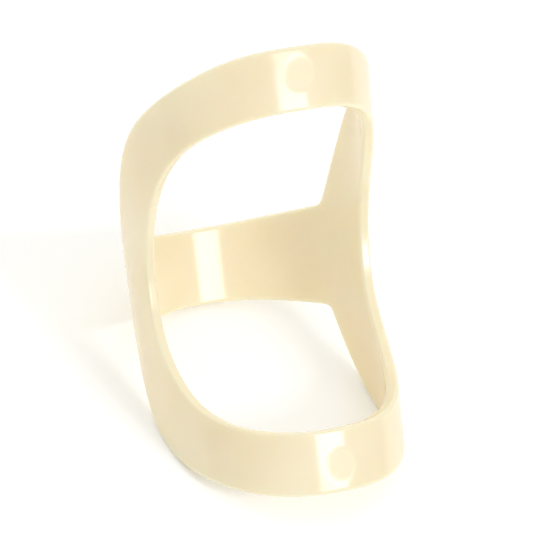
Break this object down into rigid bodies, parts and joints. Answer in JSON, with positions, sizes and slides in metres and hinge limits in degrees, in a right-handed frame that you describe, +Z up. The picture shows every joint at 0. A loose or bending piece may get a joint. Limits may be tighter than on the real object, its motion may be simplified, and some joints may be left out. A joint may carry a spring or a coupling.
{
  "type": "finger splint",
  "caption": "One-piece moulded finger splint: end bands cross one side of the finger, a middle band crosses the other, and side rails join them around an open window.",
  "frame": {"origin": "on the surface the splint rests on, under the middle of its bounding box", "axes": "+Z up from the surface; +X across the finger, side to side; -Y towards the side that the window faces. The splint rests on its lower end band and its middle band, so its long axis leans back towards +Y by about 46 degrees from upright"},
  "size_m": [0.0242, 0.03, 0.0303],
  "materials": {
    "cream_plastic": "smooth glossy moulded thermoplastic, slightly see-through at thin edges"
  },
  "bodies": {
    "root": {"splint_shell": "cream_plastic"}
  },
  "joints": []
}
